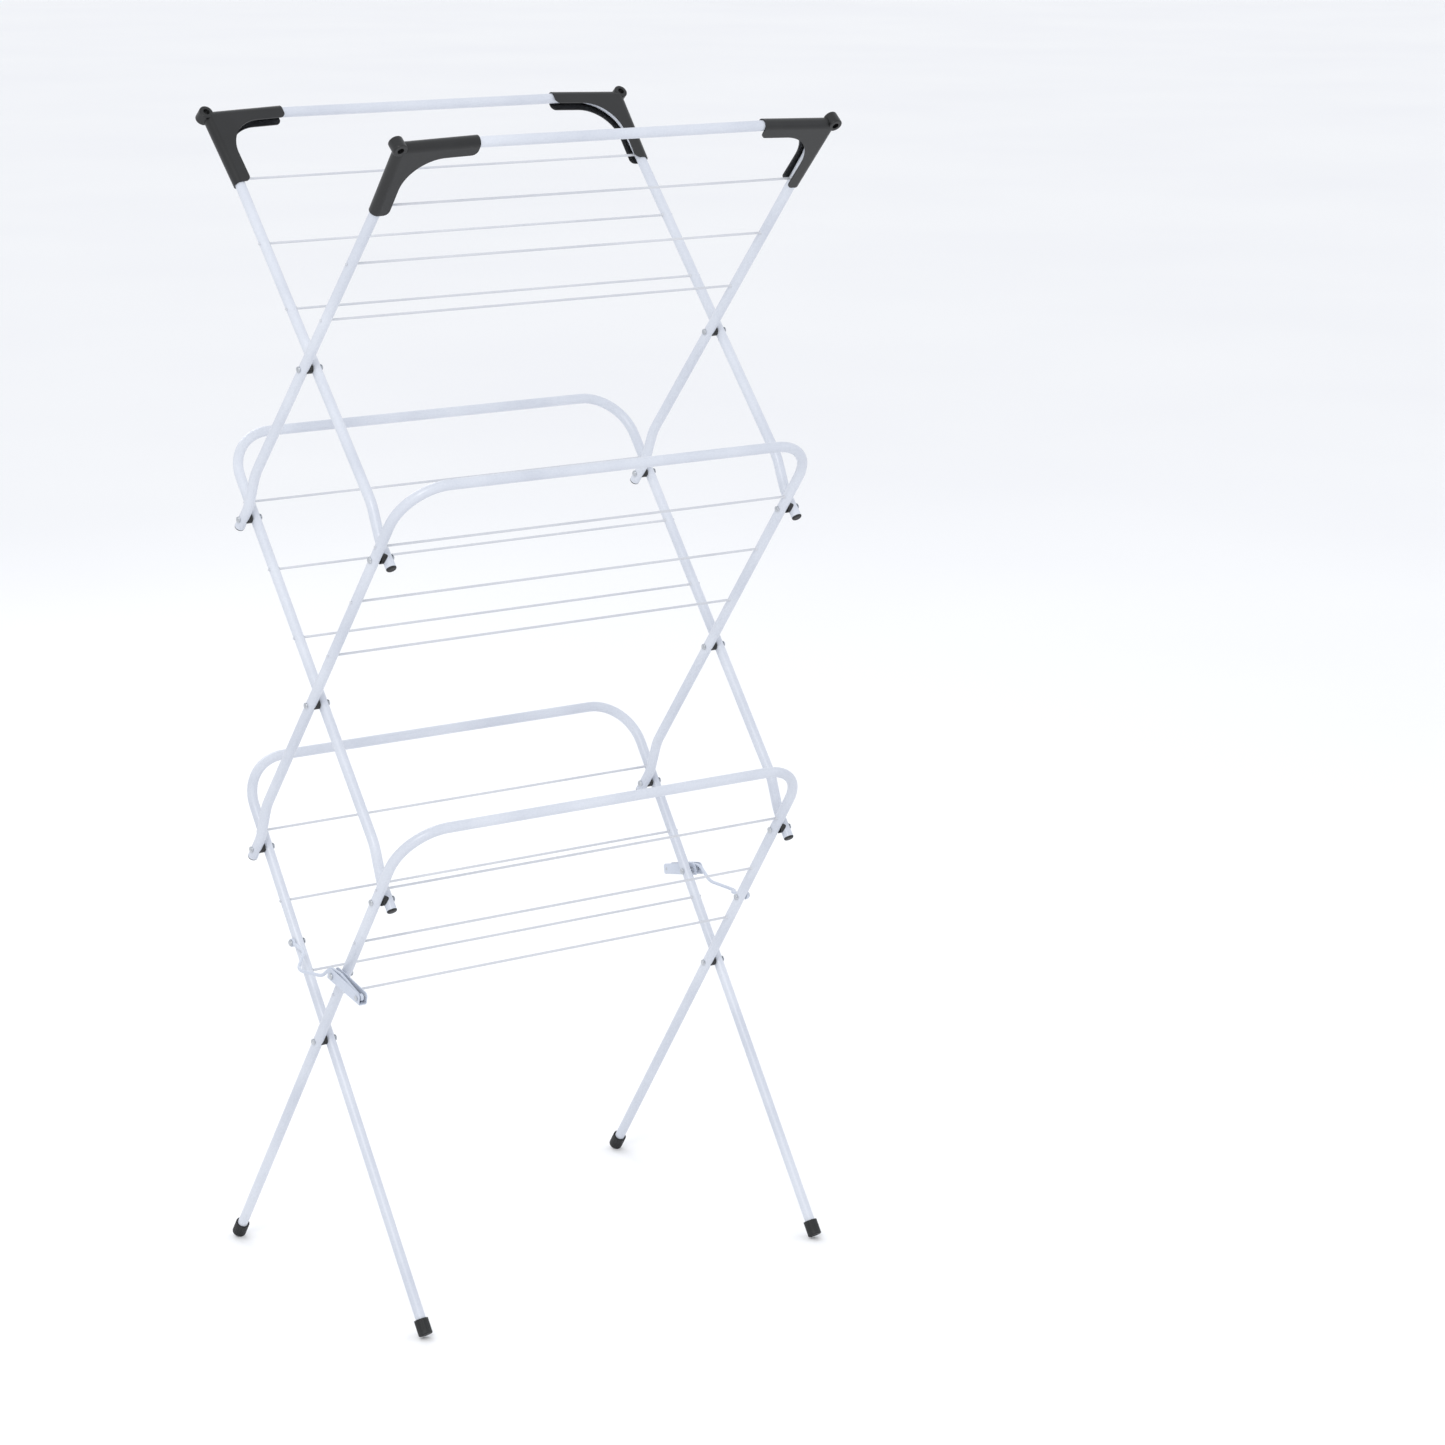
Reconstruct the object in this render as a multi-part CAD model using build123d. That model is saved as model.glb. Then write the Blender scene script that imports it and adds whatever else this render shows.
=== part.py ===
"""Three-tier folding clothes airer: six tube frames joined as three scissor tiers.

Frame: X across the rack, Y from front to back, Z up. The origin lies on the floor, midway between the feet.
A "front" frame has its crossbar at the front (-Y), a "back" frame at the back (+Y).
Every frame is built flat in its own plane, with its origin at the middle pivot and +Z along the legs
towards the crossbar, and is then tilted and moved to its place.
"""
import math
import os

from build123d import *

# ---------------------------------------------------------------- driving dimensions (mm, degrees)
TUBE_D = 12.7                # frame tube, outside diameter
TUBE_WALL = 1.0
LEG_SPACING = 580.0          # left leg to right leg of one frame, centre to centre
PAIR_PITCH = 16.5            # side by side distance of two legs that share a pivot
PIVOT_ARM = 255.0            # middle pivot to junction pivot
BAR_HEIGHT = {"top": 366.0, "middle": 371.0, "bottom": 371.0}   # middle pivot to crossbar
CORNER_R = 60.0              # bend between leg and crossbar, on the tube's centreline
JOGGLE = 14.0                # sideways step of the lower leg ends of the upper two tiers
TILT_BOTTOM = 34.6           # leg angle from vertical in the bottom tier, rack open
STUB = 14.0                  # tube beyond the junction pivot
FOOT_REACH = 381.0           # middle pivot to the end of the foot, bottom tier

WIRE_D = 3.0                 # drying rods
WIRE_PITCH = 94.0            # rod to rod, and crossbar to first rod
WIRE_PROUD = 1.5             # rod end outside the leg
WIRES = 3                    # rods per frame

RIVET_R = 2.5
RUN_GAP = 0.05               # radial clearance of a rivet in its holes
HEAD_R = 4.0
HEAD_H = 1.9
SPACER_R = 6.2
FACE_GAP = 0.2               # clearance of a spacer from the leg that turns on it

FOOT_R = 8.75
FOOT_L = 19.5
FOOT_FLUTES = 18

COVER_WALL = 1.9             # corner cover: moulded wall
COVER_ARM = 98.0             # crossbar centreline to the end of the cover's leg arm
COVER_LIP = 12.4             # flange edge, inwards from the arm's centreline
COVER_WEB_R = 46.0           # concave inner edge of the corner
COVER_TURN = 2.6             # the cover sits turned on the bend by this angle
EYE_R = 8.8                  # hanging eye at the cover's apex
EYE_BORE_R = 4.0
EYE_OUT = 5.3                # eye centre, diagonally outwards from the apex, each way

LINK_T = 128.0               # middle pivot to the link's rivet, along the leg
LEVER_T = 126.0              # middle pivot to the lever's rivet, along the leg
LEVER_B = 60.0               # lever rivet to hook pin
LEVER_OVER = 11.0            # lever past dead centre when locked
LEVER_W = 11.6               # channel width
LEVER_WALL = 1.2
LEVER_GAP = 2.6              # channel to leg: clear of the rivet heads and rod ends it swings past
LINK_R = 2.1                 # link rod
PIN_R = 2.0                  # hook pin

# ---------------------------------------------------------------- values worked out from them
R = TUBE_D / 2
HALF = LEG_SPACING / 2
STEP_ANGLE = math.degrees(math.asin(JOGGLE / PIVOT_ARM))
ARM_Z = math.sqrt(PIVOT_ARM ** 2 - JOGGLE ** 2)
TILT = {
    "bottom": TILT_BOTTOM,
    "middle": TILT_BOTTOM + STEP_ANGLE,
    "top": TILT_BOTTOM + 2 * STEP_ANGLE,
}


def sin(deg):
    return math.sin(math.radians(deg))


def cos(deg):
    return math.cos(math.radians(deg))


PIVOT_Z = {"bottom": FOOT_REACH * cos(TILT_BOTTOM) + FOOT_R * sin(TILT_BOTTOM)}
PIVOT_Z["middle"] = PIVOT_Z["bottom"] + 2 * PIVOT_ARM * cos(TILT["bottom"])
PIVOT_Z["top"] = PIVOT_Z["middle"] + 2 * PIVOT_ARM * cos(TILT["middle"])

JUNCTION = {
    "lower": (PIVOT_ARM * sin(TILT["bottom"]), PIVOT_Z["bottom"] + PIVOT_ARM * cos(TILT["bottom"])),
    "upper": (PIVOT_ARM * sin(TILT["middle"]), PIVOT_Z["middle"] + PIVOT_ARM * cos(TILT["middle"])),
}
TIERS = ("top", "middle", "bottom")
SIDES = {"front": -1, "back": 1}


def place(shape, tier, side):
    """Move a piece from its frame's own plane to its place in the rack."""
    way = SIDES[side]
    spot = Pos(way * PAIR_PITCH / 2, 0, PIVOT_Z[tier])
    return spot * Rot(X=-way * TILT[tier]) * shape


def rod_x(radius, x0, x1, y=0.0, z=0.0):
    """A round bar along X."""
    bar = Cylinder(radius, x1 - x0, align=(Align.CENTER, Align.CENTER, Align.MIN))
    return Pos(x0, y, z) * Rot(Y=90) * bar


def save(node, *solids):
    shape = solids[0] if len(solids) == 1 else Compound(children=list(solids))
    export_step(shape, f"parts/{node}.step")


# ---------------------------------------------------------------- tube frames
def frame_path(tier, side, overrun=0.0):
    """The tube's centreline, from the left leg's end over the crossbar to the right leg's end."""
    if tier == "bottom":
        low = -(FOOT_REACH - 3.0) - overrun
        left = [(-HALF, 0, low)]
        bends = []
    else:
        shift = SIDES[side] * JOGGLE
        left = [
            (-HALF, shift, -ARM_Z - STUB - overrun),
            (-HALF, shift, -ARM_Z + 22.0),
            (-HALF, 0, -ARM_Z + 66.0),
        ]
        bends = [60.0, 60.0]
    left.append((-HALF, 0, BAR_HEIGHT[tier]))
    right = [(-x, y, z) for x, y, z in reversed(left)]
    radii = bends + [CORNER_R, CORNER_R] + bends
    return FilletPolyline(*left, *right, radius=radii)


def corner_path():
    """The centreline at a top frame's left corner only."""
    reach = 2 * COVER_ARM
    top = BAR_HEIGHT["top"]
    return FilletPolyline((-HALF, 0, top - reach), (-HALF, 0, top), (-HALF + reach, 0, top), radius=CORNER_R)


def swept_tube(path, radius):
    section = Plane(origin=path @ 0, z_dir=path % 0) * Circle(radius)
    return sweep(section, path=path)


def leg_holes(tier, side):
    """(radius, y, z) of every hole that is drilled across a frame's two legs."""
    holes = [(RIVET_R + RUN_GAP, 0.0, 0.0)]
    if tier != "top":
        holes.append((RIVET_R + RUN_GAP, 0.0, PIVOT_ARM))
    if tier != "bottom":
        holes.append((RIVET_R + RUN_GAP, SIDES[side] * JOGGLE, -ARM_Z))
    holes += [(WIRE_D / 2 + RUN_GAP, 0.0, z) for z in wire_heights(tier)]
    return holes


def wire_heights(tier):
    return [BAR_HEIGHT[tier] - WIRE_PITCH * (i + 1) for i in range(WIRES)]


def frame_tube(tier, side):
    tube = swept_tube(frame_path(tier, side), R)
    tube -= swept_tube(frame_path(tier, side, overrun=1.0), R - TUBE_WALL)
    for radius, y, z in leg_holes(tier, side):
        tube -= rod_x(radius, -HALF - 2 * R, HALF + 2 * R, y, z)
    if tier == "bottom":
        lever_leg = SIDES[side] * HALF
        tube -= rod_x(RIVET_R + RUN_GAP, lever_leg - 2 * R, lever_leg + 2 * R, 0, LEVER_T)
        tube -= rod_x(RIVET_R + RUN_GAP, -lever_leg - 2 * R, -lever_leg + 2 * R, 0, LINK_T)
    return tube


def wire(tier, height):
    """One drying rod. The first rod of a top frame ends flush, under the corner cover."""
    hidden = tier == "top" and height == wire_heights(tier)[0]
    reach = HALF + R + (-0.1 if hidden else WIRE_PROUD)
    return rod_x(WIRE_D / 2, -reach, reach, 0, height)


# ---------------------------------------------------------------- black mouldings
def foot(leg):
    """A fluted cap that the tube's end sits in."""
    body = Cylinder(FOOT_R, FOOT_L, align=(Align.CENTER, Align.CENTER, Align.MIN))
    body = fillet(body.edges().group_by(Axis.Z)[0], 1.6)
    socket = Pos(0, 0, 3.0) * Cylinder(R, FOOT_L, align=(Align.CENTER, Align.CENTER, Align.MIN))
    flute = Pos(FOOT_R + 0.15, 0, 5.0) * Cylinder(0.55, FOOT_L, align=(Align.CENTER, Align.CENTER, Align.MIN))
    body -= socket
    body -= [Rot(Z=i * 360 / FOOT_FLUTES) * flute for i in range(FOOT_FLUTES)]
    return Pos(leg * HALF, 0, -FOOT_REACH) * body


def end_plug(side, leg):
    """A domed plug in the open lower end of a leg."""
    stem = Cylinder(R - TUBE_WALL, 8.0, align=(Align.CENTER, Align.CENTER, Align.MIN))
    dome = Cylinder(R, 2.5, align=(Align.CENTER, Align.CENTER, Align.MAX))
    dome = fillet(dome.edges().group_by(Axis.Z)[0], 2.2)
    return Pos(leg * HALF, SIDES[side] * JOGGLE, -ARM_Z - STUB) * (stem + dome)


def corner_cover(leg):
    """An open channel on the outside of a top corner, with two flanges and a hanging eye.

    Built with the crossbar arm along +X and the leg arm along -Z from the corner of the two
    centrelines, then mirrored for the right-hand corner.
    """
    outer = R + COVER_WALL
    arm = COVER_ARM
    # flange outline, in the frame's plane
    with BuildSketch(Plane.XZ) as outline:
        with BuildLine():
            lip = FilletPolyline(
                (0, 0), (arm, 0), (arm, -COVER_LIP), (COVER_LIP, -COVER_LIP), (COVER_LIP, -arm), (0, -arm),
                radius=[0.6, 7.0, COVER_WEB_R, 7.0],
            )
            Line(lip @ 1, lip @ 0)
        make_face()
    plate = extrude(outline.sketch, amount=outer, both=True)
    bar_back = rod_x(outer, 0, arm)
    leg_back = Pos(0, 0, -arm) * Cylinder(outer, arm, align=(Align.CENTER, Align.CENTER, Align.MIN))
    apex = Sphere(outer)
    lower_side = Box(arm, 4 * outer, arm, align=(Align.MIN, Align.CENTER, Align.MAX))
    shell = plate + (bar_back + leg_back + apex - lower_side)
    # hanging eye
    eye_spot = Pos(-EYE_OUT, 0, EYE_OUT) * Rot(X=90)
    eye = Cylinder(EYE_R, 2 * outer - 0.4)
    eye = fillet(eye.edges(), 1.4)
    shell += eye_spot * eye
    # hollow for the tube, open on the inner side
    gap = R + 0.3
    room = 2 * arm
    bar_room = rod_x(gap, 9.0, room) + Pos(9.0, 0, 0) * Box(
        room, 2 * gap, COVER_LIP + 40, align=(Align.MIN, Align.CENTER, Align.MAX)
    )
    leg_room = Cylinder(gap, room, align=(Align.CENTER, Align.CENTER, Align.MAX)) + Box(
        COVER_LIP + 40, 2 * gap, room, align=(Align.MIN, Align.CENTER, Align.MAX)
    )
    shell -= bar_room
    shell -= Pos(0, 0, -9.0) * leg_room
    shell -= eye_spot * Cylinder(EYE_BORE_R, 4 * outer)
    # the arms' ends sit on the tube's centrelines, so the turned cover is shifted along the corner
    drift = arm * sin(COVER_TURN)
    cover = Pos(-HALF - drift, 0, BAR_HEIGHT["top"] - drift) * Rot(Y=-COVER_TURN) * shell
    # room for the tube itself
    cover -= swept_tube(corner_path(), R + 0.15)
    return cover if leg < 0 else mirror(cover, about=Plane.YZ)


# ---------------------------------------------------------------- rivets and spacers
def rivet(x0, x1, y, z):
    """A through rivet with a domed head outside each end of its grip."""
    dome = Cylinder(HEAD_R, HEAD_H, align=(Align.CENTER, Align.CENTER, Align.MIN))
    dome = fillet(dome.edges().group_by(Axis.Z)[-1], 1.4)
    shank = rod_x(RIVET_R, x0 - 0.5, x1 + 0.5, y, z)
    far = Pos(x1 + RUN_GAP, y, z) * Rot(Y=90) * dome
    near = Pos(x0 - RUN_GAP, y, z) * Rot(Y=-90) * dome
    return shank + far + near


def pair_rivets(y, z):
    """The left and right rivets that join a front leg to a back leg."""
    reach = PAIR_PITCH / 2 + R
    return [rivet(leg * HALF - reach, leg * HALF + reach, y, z) for leg in (-1, 1)]


def pair_spacers(tier, side, y, z, tilt):
    """Saddle spacers between the two legs of a pivot. Each hugs the leg of its own frame."""
    way = SIDES[side]
    own = way * PAIR_PITCH / 2
    free = -way * (PAIR_PITCH / 2 - R - FACE_GAP)
    parts = []
    for leg in (-1, 1):
        x0, x1 = sorted((leg * HALF + own, leg * HALF + free))
        body = rod_x(SPACER_R, x0, x1, y, z)
        along = Pos(leg * HALF + own, y, z) * Rot(X=tilt) * Cylinder(R + 0.02, 60)
        parts.append(body - along - rod_x(RIVET_R + RUN_GAP, x0 - 1, x1 + 1, y, z))
    return parts


# ---------------------------------------------------------------- folding latch, one each side
class Latch:
    """Places of the latch, seen on the left side. All in the rack's Y and Z."""
    link = (LINK_T * sin(TILT_BOTTOM), PIVOT_Z["bottom"] + LINK_T * cos(TILT_BOTTOM))
    lever = (-LEVER_T * sin(TILT_BOTTOM), PIVOT_Z["bottom"] + LEVER_T * cos(TILT_BOTTOM))
    base = math.degrees(math.atan2(lever[1] - link[1], lever[0] - link[0]))
    lever_angle = base + LEVER_OVER
    hook = (lever[0] + LEVER_B * cos(lever_angle), lever[1] + LEVER_B * sin(lever_angle))
    length = math.dist(link, hook)
    link_angle = math.degrees(math.atan2(hook[1] - link[1], hook[0] - link[0])) % 360
    leg_face = -HALF - PAIR_PITCH / 2 - R              # outer face of the leg that carries the lever
    mid_x = leg_face - LEVER_GAP - LEVER_W / 2         # middle plane of the channel
    eye_face = -HALF + PAIR_PITCH / 2 - R              # outer face of the leg that carries the link


def lever_place(shape):
    """From the lever's own plane (X across, Y along the lever, Z away from its web) to the rack."""
    return Pos(Latch.mid_x, *Latch.lever) * Rot(X=Latch.lever_angle - 360) * Rot(Y=180) * shape


def latch_lever():
    """A pressed channel: two side walls and a web that stops short of the rivet."""
    with BuildSketch(Plane.YZ) as side:
        with BuildLine():
            rim = FilletPolyline(
                (-8.5, -7.5), (-8.5, 8.5), (16, 8.5), (LEVER_B + 6, 6.5), (LEVER_B + 6, -7.5),
                radius=[7.0, 20.0, 5.0],
            )
            Line(rim @ 1, rim @ 0)
        make_face()
    block = extrude(side.sketch, amount=LEVER_W / 2, both=True)
    web_edges = block.edges().filter_by(Axis.Y).group_by(Axis.Z)[0]
    block = fillet(web_edges, 2.4)
    inner = LEVER_W - 2 * LEVER_WALL
    hollow = Pos(0, 20, -7.5 + LEVER_WALL) * Box(inner, 200, 40, align=(Align.CENTER, Align.CENTER, Align.MIN))
    block -= hollow
    block -= Pos(0, -30 + 16, 0) * Box(inner, 60, 60)
    block -= rod_x(RIVET_R + RUN_GAP, -30, 30, 0, 0)
    block -= rod_x(PIN_R + RUN_GAP, -30, 30, LEVER_B, 0)
    return lever_place(block)


def lever_rivet():
    """The shouldered rivet through the leg and both walls of the channel."""
    y, z = Latch.lever
    long_rivet = rivet(Latch.mid_x - LEVER_W / 2, Latch.leg_face + TUBE_D, y, z)
    return long_rivet + rod_x(HEAD_R, Latch.leg_face - LEVER_GAP + 0.1, Latch.leg_face - 0.1, y, z)


def hook_pin():
    half = LEVER_W / 2
    y, z = Latch.hook
    pin = rod_x(PIN_R, Latch.mid_x - half - 0.4, Latch.mid_x + half, y, z)
    head = rod_x(PIN_R + 1.2, Latch.mid_x - half - 0.9, Latch.mid_x - half - 0.05, y, z)
    return pin + head


def latch_link():
    """A bent rod from an eye on one leg to an eye on the lever's hook pin.

    Its own plane: X across, -Y from the leg's eye to the hook, Z up, eye at the origin.
    """
    eye_x = Latch.eye_face - 0.4 - LINK_R - Latch.mid_x
    end = -Latch.length
    route = [
        (eye_x, -3.0, 0.3),
        (eye_x, -30, -1),
        (-7, -66, -9),
        (0, -112, -3),
        (0, -133, 14),
        (0, -157, 14),
        (0, end + 2.2, 0.9),
    ]
    link = swept_tube(FilletPolyline(*route, radius=[24, 24, 24, 14, 9]), LINK_R)
    link += rod_x(5.2, eye_x - 1.7, eye_x + 1.8, 0, 0)
    link += rod_x(PIN_R + 2.4, -1.9, 1.9, end, 0)
    link -= rod_x(RIVET_R + RUN_GAP, eye_x - 10, eye_x + 10, 0, 0)
    link -= rod_x(PIN_R + RUN_GAP, -10, 10, end, 0)
    return Pos(Latch.mid_x, *Latch.link) * Rot(X=Latch.link_angle - 180) * link


def link_rivet():
    """The rivet that holds the link's eye against the leg's outer wall."""
    return rivet(Latch.eye_face - 0.4 - 2 * LINK_R, Latch.eye_face + TUBE_D, *Latch.link)


def half_turn(shape):
    """The right-hand copy: the rack's two sides match under a half turn about Z."""
    return Rot(Z=180) * shape


# ---------------------------------------------------------------- build
def main():
    os.makedirs("parts", exist_ok=True)
    for tier in TIERS:
        for side in SIDES:
            save(f"{tier}_{side}_frame_tube", place(frame_tube(tier, side), tier, side))
            for number, height in enumerate(wire_heights(tier), start=1):
                save(f"{tier}_{side}_rod_{number}", place(wire(tier, height), tier, side))
            if tier == "bottom":
                for name, leg in (("left", -1), ("right", 1)):
                    save(f"{side}_frame_{name}_foot", place(foot(leg), tier, side))
            else:
                plugs = [place(end_plug(side, leg), tier, side) for leg in (-1, 1)]
                save(f"{tier}_{side}_end_plugs", *plugs)
    for side in SIDES:
        for name, leg in (("left", -1), ("right", 1)):
            save(f"{side}_{name}_corner_cover", place(corner_cover(leg), "top", side))

    for tier in TIERS:
        save(f"{tier}_scissor_rivets", *pair_rivets(0, PIVOT_Z[tier]))
        save(f"{tier}_scissor_spacers", *pair_spacers(tier, "front", 0, PIVOT_Z[tier], TILT[tier]))
    # at a junction the upper tier's frame and the lower tier's frame meet: front with back
    for name, upper in (("upper", "top"), ("lower", "middle")):
        y, z = JUNCTION[name]
        for end, way, side in (("rear", 1, "front"), ("front", -1, "back")):
            save(f"{name}_{end}_junction_rivets", *pair_rivets(way * y, z))
            tilt = -SIDES[side] * TILT[upper]
            save(f"{name}_{end}_junction_spacers", *pair_spacers(upper, side, way * y, z, tilt))

    pieces = {
        "latch_lever": latch_lever(),
        "lever_rivet": lever_rivet(),
        "hook_pin": hook_pin(),
        "link_rivet": link_rivet(),
        "latch_link": latch_link(),
    }
    for name, shape in pieces.items():
        save(f"left_{name}", shape)
        save(f"right_{name}", half_turn(shape))


if __name__ == "__main__":
    main()
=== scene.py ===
# %% [markdown]
# # A folding clothes airer
# The airer is six bent steel tubes, joined in pairs as scissors and stacked three tiers high.
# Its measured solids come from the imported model. This script gives them their finishes, adds the
# small paint collars where each rod passes through a leg, and sets up the light and the camera.

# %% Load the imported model
import math

import bmesh
import bpy
from mathutils import Matrix, Vector


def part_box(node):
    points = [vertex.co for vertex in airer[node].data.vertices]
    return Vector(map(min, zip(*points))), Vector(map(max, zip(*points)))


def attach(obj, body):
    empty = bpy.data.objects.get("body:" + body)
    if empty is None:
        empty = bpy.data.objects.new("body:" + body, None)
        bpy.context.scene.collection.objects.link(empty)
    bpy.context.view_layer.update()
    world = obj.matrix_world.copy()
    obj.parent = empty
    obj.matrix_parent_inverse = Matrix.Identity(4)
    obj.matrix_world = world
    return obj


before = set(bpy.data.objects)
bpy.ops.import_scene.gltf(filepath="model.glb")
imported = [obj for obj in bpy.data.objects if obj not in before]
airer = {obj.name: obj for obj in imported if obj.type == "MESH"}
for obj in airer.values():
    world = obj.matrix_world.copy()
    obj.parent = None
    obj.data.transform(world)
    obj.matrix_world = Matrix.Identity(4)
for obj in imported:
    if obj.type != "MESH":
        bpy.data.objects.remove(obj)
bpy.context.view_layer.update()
print("pieces from the model:", len(airer))

# %% [markdown]
# ## Colour
# Colours are picked as sRGB hex values, as a paint chart gives them. Shader sockets want linear
# light, so one function turns the first into the second.


# %% Hex colour to linear
def paint_chart(hex_value):
    linear = []
    for start in (0, 2, 4):
        part = int(hex_value[start:start + 2], 16) / 255
        linear.append(part / 12.92 if part <= 0.04045 else ((part + 0.055) / 1.055) ** 2.4)
    return (*linear, 1.0)


print("light tube paint:", [round(c, 3) for c in paint_chart("D3D7DF")])

# %% [markdown]
# ## Building a node tree
# Every finish below is a handful of nodes. One small function adds a node, fills in its settings
# and joins its inputs, so each material reads as a list of what it is made of. An input goes by
# its name, or by _0, _1 and so on where a node has several inputs of one name.


# %% One node at a time
def add_node(tree, kind, settings=None, **inputs):
    node = tree.nodes.new(kind)
    for name, value in (settings or {}).items():
        setattr(node, name, value)
    for name, value in inputs.items():
        number = name[1:]
        socket = node.inputs[int(number) if number.isdigit() else name.replace("_", " ")]
        if isinstance(value, bpy.types.NodeSocket):
            tree.links.new(value, socket)
        else:
            socket.default_value = value
    return node


def new_finish(name):
    finish = bpy.data.materials.new(name)
    finish.use_nodes = True
    finish.node_tree.nodes.clear()
    tree = finish.node_tree
    place = add_node(tree, "ShaderNodeTexCoord").outputs["Object"]
    return finish, tree, place


def tint(tree, amount, dark, light):
    ramp = add_node(tree, "ShaderNodeValToRGB", Fac=amount)
    ends = zip(ramp.color_ramp.elements, (0.3, 0.7), (dark, light))
    for element, position, hex_value in ends:
        element.position = position
        element.color = paint_chart(hex_value)
    return ramp.outputs["Color"]


def spread(tree, amount, low, high):
    span = add_node(tree, "ShaderNodeMapRange", None, Value=amount, To_Min=low, To_Max=high)
    return span.outputs["Result"]


def surface(tree, **inputs):
    shader = add_node(tree, "ShaderNodeBsdfPrincipled", None, **inputs)
    add_node(tree, "ShaderNodeOutputMaterial", None, Surface=shader.outputs["BSDF"])


print("node helpers ready")

# %% [markdown]
# ## Powder coat on steel tube
# The frames are sprayed with dry polyester powder and baked. The powder melts into a skin about
# 0.08 mm thick, so it has a faint orange peel: low bumps a millimetre or two apart, under a soft
# gloss. The colour is even, with a slight drift over a hand's width where the coat is thicker.
# The peel is drawn at 1.6 mm, a little coarse, so that it shows at arm's length. Both lengths
# below are in metres.


# %% Powder coat
PEEL_LENGTH = 0.0016
WAVE_LENGTH = 0.007


def powder_coat(name, dark, light, gloss):
    finish, tree, place = new_finish(name)
    drift = add_node(tree, "ShaderNodeTexNoise", None, Vector=place, Scale=9.0, Detail=3.0)
    specks = add_node(tree, "ShaderNodeTexNoise", None, Vector=place, Scale=420.0, Detail=2.0)
    peel = add_node(
        tree, "ShaderNodeTexNoise", None, Vector=place, Scale=1 / PEEL_LENGTH, Detail=1.5
    )
    waves = add_node(
        tree, "ShaderNodeTexNoise", None, Vector=place, Scale=1 / WAVE_LENGTH, Detail=1.0
    )
    low = add_node(
        tree, "ShaderNodeBump", None,
        Height=waves.outputs["Fac"], Strength=0.10, Distance=0.0006,
    )
    high = add_node(
        tree, "ShaderNodeBump", None,
        Height=peel.outputs["Fac"], Normal=low.outputs["Normal"], Strength=0.22, Distance=0.0003,
    )
    blend = add_node(
        tree, "ShaderNodeMath", {"operation": "MULTIPLY_ADD"},
        _0=specks.outputs["Fac"], _1=0.25, _2=spread(tree, drift.outputs["Fac"], 0.0, 0.75),
    )
    surface(
        tree,
        Base_Color=tint(tree, blend.outputs["Value"], dark, light),
        Roughness=spread(tree, specks.outputs["Fac"], gloss - 0.06, gloss + 0.08),
        Normal=high.outputs["Normal"],
        Coat_Weight=0.18,
        Coat_Roughness=0.22,
        IOR=1.5,
    )
    print(name, "made with", len(tree.nodes), "nodes")
    return finish


TUBE_PAINT = powder_coat("white polyester powder coat on tube", "BEC3CE", "D3D7DF", 0.34)
ROD_PAINT = powder_coat("white polyester powder coat on wire", "BDC0C7", "CFD1D6", 0.34)
LATCH_PAINT = powder_coat("white powder coat on pressed steel", "B6BDCB", "CCD2DD", 0.40)

# %% [markdown]
# ## Moulded plastic
# The corner covers are drawn as black polypropylene, the feet and plugs as polyethylene and the
# spacers as acetal. A moulding tool's cavity is often spark eroded, which leaves a fine even grain
# and a soft sheen instead of a mirror. Handling leaves faint greyer patches, so roughness and tone
# drift together.


# %% Moulded plastic
def moulded_plastic(name, dark, light, grain_mm, sheen):
    finish, tree, place = new_finish(name)
    handled = add_node(tree, "ShaderNodeTexNoise", None, Vector=place, Scale=26.0, Detail=4.0)
    grain = add_node(tree, "ShaderNodeTexVoronoi", None, Vector=place, Scale=1000 / grain_mm)
    pits = add_node(tree, "ShaderNodeTexNoise", None, Vector=place, Scale=700.0, Detail=3.0)
    coarse = add_node(
        tree, "ShaderNodeBump", None,
        Height=grain.outputs["Distance"], Strength=0.25, Distance=0.0002,
    )
    fine = add_node(
        tree, "ShaderNodeBump", None,
        Height=pits.outputs["Fac"], Normal=coarse.outputs["Normal"], Strength=0.2, Distance=0.0002,
    )
    surface(
        tree,
        Base_Color=tint(tree, handled.outputs["Fac"], dark, light),
        Roughness=spread(tree, handled.outputs["Fac"], sheen - 0.07, sheen + 0.09),
        Normal=fine.outputs["Normal"],
        IOR=1.49,
    )
    print(name, "made with", len(tree.nodes), "nodes")
    return finish


COVER_PLASTIC = moulded_plastic("black polypropylene, spark eroded", "0C0D0E", "151617", 0.9, 0.38)
FOOT_PLASTIC = moulded_plastic("black polyethylene foot", "111213", "1B1C1D", 1.1, 0.55)
SPACER_PLASTIC = moulded_plastic("black acetal spacer", "101112", "191A1B", 0.8, 0.38)

# %% [markdown]
# ## Zinc-plated rivets
# The rivets are steel wire with a bright zinc plate. The snap tool that forms the head leaves
# faint rings and scuffs, so the metal is fairly smooth with a slightly cloudy shine.

# %% Zinc plate
ZINC, zinc_tree, zinc_place = new_finish("zinc-plated steel rivet")
cloud = add_node(zinc_tree, "ShaderNodeTexNoise", None, Vector=zinc_place, Scale=320.0, Detail=4.0)
scuff = add_node(
    zinc_tree, "ShaderNodeTexNoise", None, Vector=zinc_place, Scale=1500.0, Detail=2.0
)
dents = add_node(
    zinc_tree, "ShaderNodeBump", None, Height=scuff.outputs["Fac"], Strength=0.3, Distance=0.0001
)
surface(
    zinc_tree,
    Base_Color=tint(zinc_tree, cloud.outputs["Fac"], "A9ADB2", "CDD0D4"),
    Roughness=spread(zinc_tree, cloud.outputs["Fac"], 0.24, 0.42),
    Normal=dents.outputs["Normal"],
    Metallic=1.0,
)
print(ZINC.name, "made with", len(zinc_tree.nodes), "nodes")

# %% [markdown]
# ## Dressing the model
# The model's solids already have the right shape, so each keeps its mesh and only takes a finish.
# The words in a piece's name say what it is made of.

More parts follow.
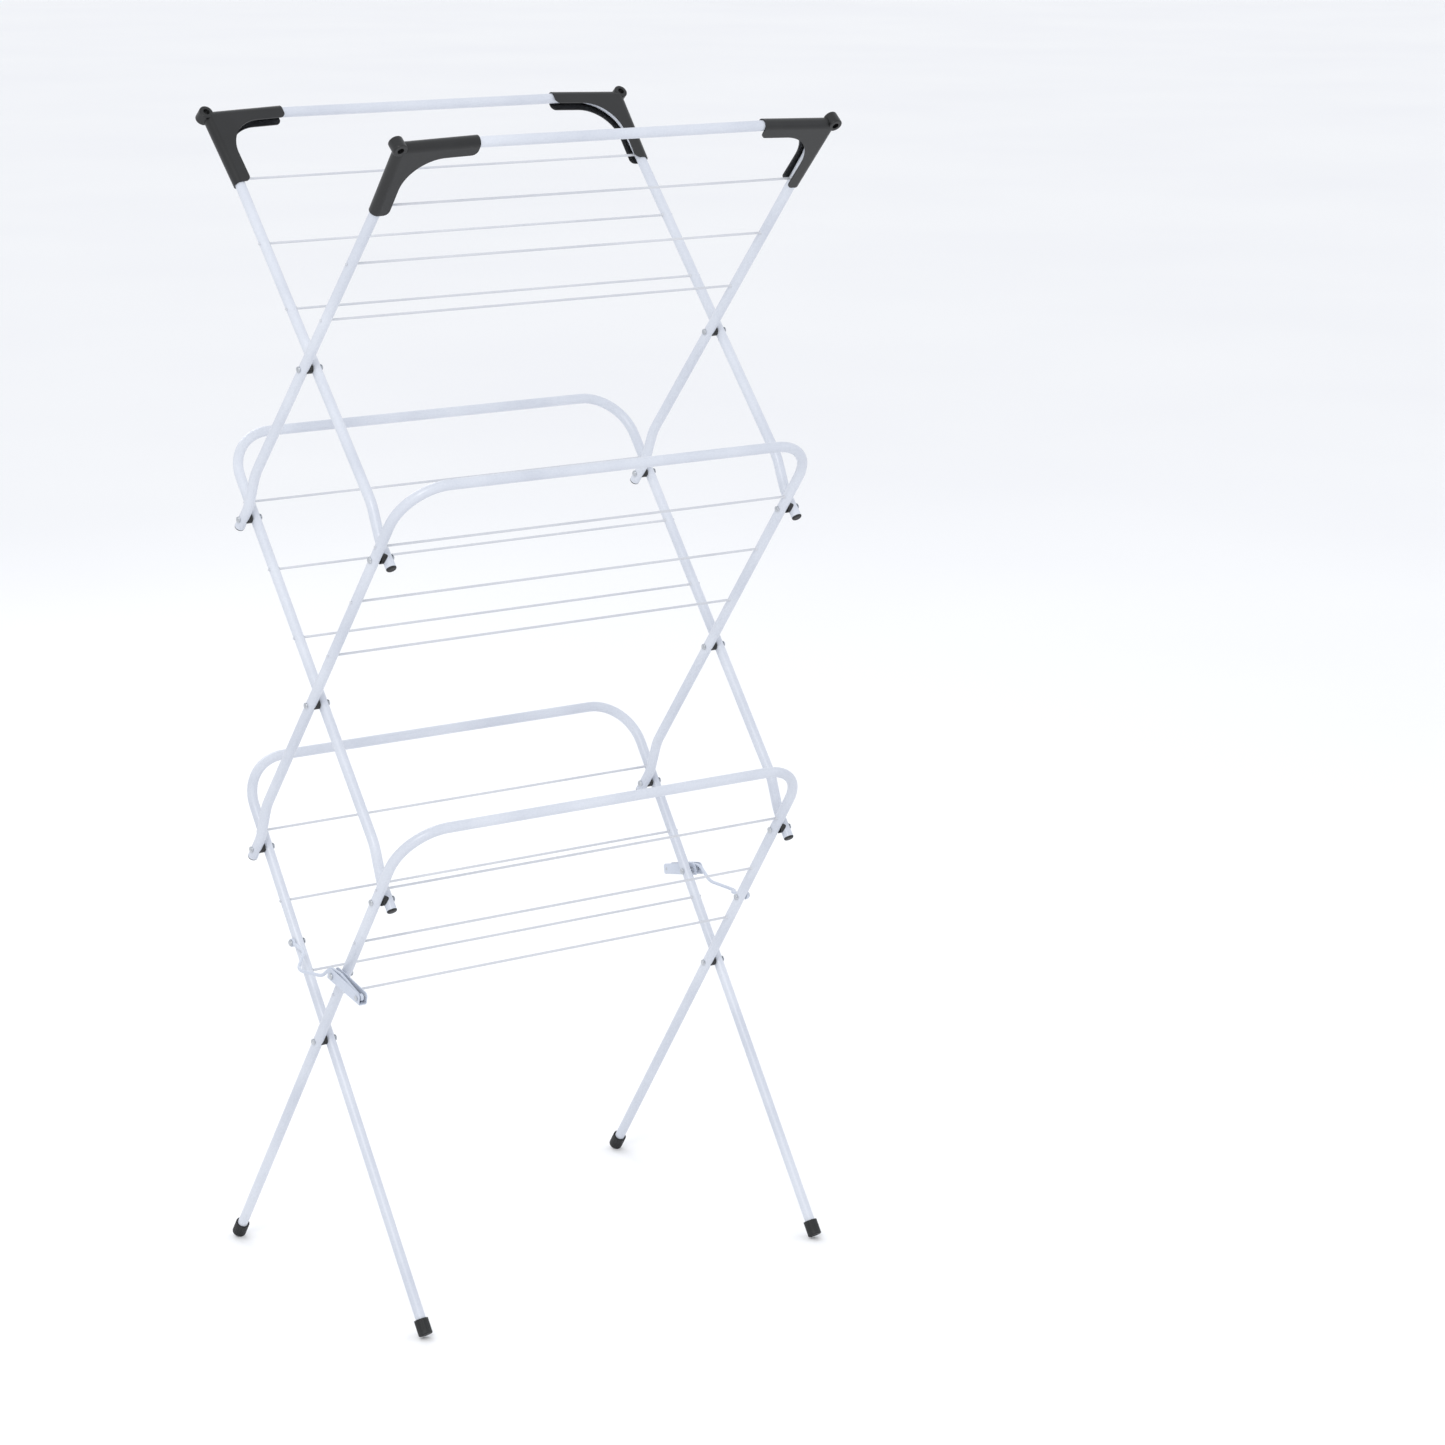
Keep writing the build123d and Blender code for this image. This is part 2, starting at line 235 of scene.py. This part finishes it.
# %% Finishes by piece
FINISH_BY_WORD = (
    ("frame_tube", TUBE_PAINT),
    ("_rod_", ROD_PAINT),
    ("corner_cover", COVER_PLASTIC),
    ("_foot", FOOT_PLASTIC),
    ("end_plugs", FOOT_PLASTIC),
    ("spacers", SPACER_PLASTIC),
    ("latch_lever", LATCH_PAINT),
    ("latch_link", LATCH_PAINT),
    ("rivet", ZINC),
    ("hook_pin", ZINC),
)

for name, piece in airer.items():
    finish = next(chosen for word, chosen in FINISH_BY_WORD if word in name)
    piece.data.materials.clear()
    piece.data.materials.append(finish)
print("dressed", len(airer), "pieces")

# %% [markdown]
# ## Paint collars
# Each rod is pushed through both legs before the frame is sprayed. The powder bridges the little
# gap round the rod and bakes into a thin raised collar. A collar could be a torus, but a real one
# is a low fillet, fat against the leg and feathered along the rod. So a bent profile is spun
# round the rod's line.

# %% Collar sizes
ROD_RADIUS = 0.0015
COLLAR_REACH = 0.0013
LEG_RADIUS = 0.00635
COLLAR_SINK = 0.0003
PROFILE = ((0.0, COLLAR_REACH), (0.0003, 0.0007), (0.0008, 0.00025), (0.0014, 0.00002))
print("collar reaches", COLLAR_REACH * 1000, "mm from the rod")


# %% Spin one collar
def spin_collar(mesh, centre, outward):
    ring = [
        mesh.verts.new(centre + Vector((outward * along, 0, ROD_RADIUS + lift)))
        for along, lift in PROFILE
    ]
    edges = [mesh.edges.new(pair) for pair in zip(ring, ring[1:])]
    bmesh.ops.spin(
        mesh, geom=ring + edges, cent=centre, axis=(1, 0, 0),
        angle=2 * math.pi, steps=20, use_merge=True,
    )


def rod_line(rod):
    low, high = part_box(rod)
    return (Vector(low) + Vector(high)) / 2


print("collar helper ready")

# %% Collars of every frame
for tier in ("top", "middle", "bottom"):
    for side, way in (("front", -1), ("back", 1)):
        frame_name = f"{tier}_{side}_frame"
        tube_low, tube_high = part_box(f"{frame_name}_tube")
        leg_lines = (tube_low[0] + LEG_RADIUS, tube_high[0] - LEG_RADIUS)
        mesh = bmesh.new()
        for number in (1, 2, 3):
            middle = rod_line(f"{tier}_{side}_rod_{number}")
            for leg_x, inward in zip(leg_lines, (1, -1)):
                foot_x = leg_x + inward * (LEG_RADIUS - COLLAR_SINK)
                spin_collar(mesh, Vector((foot_x, middle.y, middle.z)), inward)
        bmesh.ops.remove_doubles(mesh, verts=mesh.verts, dist=1e-6)
        bmesh.ops.recalc_face_normals(mesh, faces=mesh.faces)
        for face in mesh.faces:
            face.smooth = True
        data = bpy.data.meshes.new(f"{frame_name}_collars")
        mesh.to_mesh(data)
        mesh.free()
        collars = bpy.data.objects.new(f"{frame_name}_collars", data)
        bpy.context.scene.collection.objects.link(collars)
        data.materials.append(ROD_PAINT)
        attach(collars, frame_name)
        print(collars.name, len(data.polygons), "faces")

# %% [markdown]
# ## Floor
# A plain pale floor catches a soft shadow and keeps the eye on the airer. It reaches far enough
# that its edge melts into the sky.

# %% Lay the floor
FLOOR_REACH = 60.0
floor_mesh = bmesh.new()
bmesh.ops.create_grid(floor_mesh, x_segments=2, y_segments=2, size=FLOOR_REACH)
floor_data = bpy.data.meshes.new("studio_floor")
floor_mesh.to_mesh(floor_data)
floor_mesh.free()
floor = bpy.data.objects.new("studio_floor", floor_data)
bpy.context.scene.collection.objects.link(floor)
FLOOR_FINISH, floor_tree, floor_place = new_finish("pale painted floor")
floor_drift = add_node(floor_tree, "ShaderNodeTexNoise", None, Vector=floor_place, Scale=0.6)
surface(
    floor_tree,
    Base_Color=tint(floor_tree, floor_drift.outputs["Fac"], "F5F5F6", "F8F8F8"),
    Roughness=0.7,
)
floor_data.materials.append(FLOOR_FINISH)
print("floor is", round(floor.dimensions.x, 1), "m wide")

# %% [markdown]
# ## Light
# A large soft lamp high on the left gives the tubes their long highlights. A weaker one on the
# right keeps the shaded sides cool and open, a third behind lights their far edges, and a pale sky
# fills the rest.


# %% Soft lamps
def soft_lamp(name, spot, aim, size, watts, hex_value):
    lamp = bpy.data.lights.new(name, "AREA")
    lamp.shape = "DISK"
    lamp.size = size
    lamp.energy = watts
    lamp.color = paint_chart(hex_value)[:3]
    holder = bpy.data.objects.new(name, lamp)
    holder.location = spot
    holder.rotation_euler = (Vector(aim) - Vector(spot)).to_track_quat("-Z", "Y").to_euler()
    bpy.context.scene.collection.objects.link(holder)
    print(name, watts, "W")


soft_lamp("key_lamp", (-2.6, -2.8, 3.6), (0, 0, 0.8), 1.5, 60, "FFFDF8")
soft_lamp("fill_lamp", (3.4, -2.0, 2.2), (0, 0, 0.7), 2.0, 6, "EAF1FF")
soft_lamp("rim_lamp", (0.6, 3.4, 3.0), (0, 0, 0.9), 2.0, 22, "FFFFFF")

sky = bpy.data.worlds.new("studio_sky")
sky.use_nodes = True
glow = sky.node_tree.nodes["Background"].inputs
glow["Color"].default_value = paint_chart("F4F6FA")
glow["Strength"].default_value = 1.06
bpy.context.scene.world = sky
bpy.context.scene.view_settings.view_transform = "Standard"

# %% [markdown]
# ## Camera
# The camera stands to the left of the airer, above its top bars, and looks slightly down with a
# long lens, so the three tiers keep their proportions. Angles are in radians.

# %% Place the camera
SENSOR_MM = 36.0
CAMERA_SPOT = Vector((-2.551, -4.007, 1.808))
YAW = 0.6192
PITCH = 0.2340
ROLL = 0.0030
LENS_MM = 98.05

camera_data = bpy.data.cameras.new("camera")
camera_data.sensor_width = SENSOR_MM
camera_data.lens = LENS_MM
camera = bpy.data.objects.new("camera", camera_data)
turn = Matrix.Rotation(-YAW, 4, "Z") @ Matrix.Rotation(math.pi / 2 - PITCH, 4, "X")
camera.matrix_world = Matrix.Translation(CAMERA_SPOT) @ turn @ Matrix.Rotation(ROLL, 4, "Z")
bpy.context.scene.collection.objects.link(camera)
bpy.context.scene.camera = camera
print("lens", camera_data.lens, "mm")
